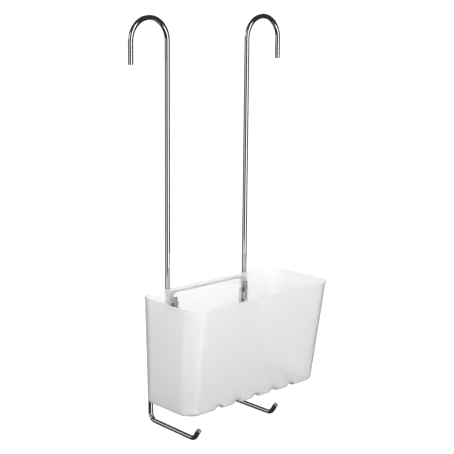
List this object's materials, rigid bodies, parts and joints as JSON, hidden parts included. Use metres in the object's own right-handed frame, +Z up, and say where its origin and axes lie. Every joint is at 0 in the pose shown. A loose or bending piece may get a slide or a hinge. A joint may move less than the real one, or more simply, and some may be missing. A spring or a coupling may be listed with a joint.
{
  "type": "shower caddy",
  "caption": "Hook-over shower caddy: a frosted tapered plastic basket that lifts off a bent chrome wire hanger with top hooks and lower accessory hooks.",
  "frame": {"origin": "midway between the two top hooks, in the plane of the upright rods, at the underside of the hook crowns, where the rail that holds the caddy up lies", "axes": "+X along the basket from the left hook to the right hook, +Y towards the wall behind the caddy, +Z up"},
  "size_m": [0.236, 0.1419, 0.4936],
  "materials": {
    "chromed_wire": "bright polished chrome plating on round steel wire",
    "frosted_plastic": "fine satin frost, translucent milky white"
  },
  "bodies": {
    "hanger_frame": {"left_hanger_rod": "chromed_wire", "right_hanger_rod": "chromed_wire", "basket_bracket": "chromed_wire"},
    "lift_off_basket": {"basket": "frosted_plastic"}
  },
  "joints": [
    {"name": "basket_lift", "type": "slide", "parent": "hanger_frame", "child": "lift_off_basket", "axis": [0, 0, 1], "range_m": [0, 0.0124]}
  ]
}
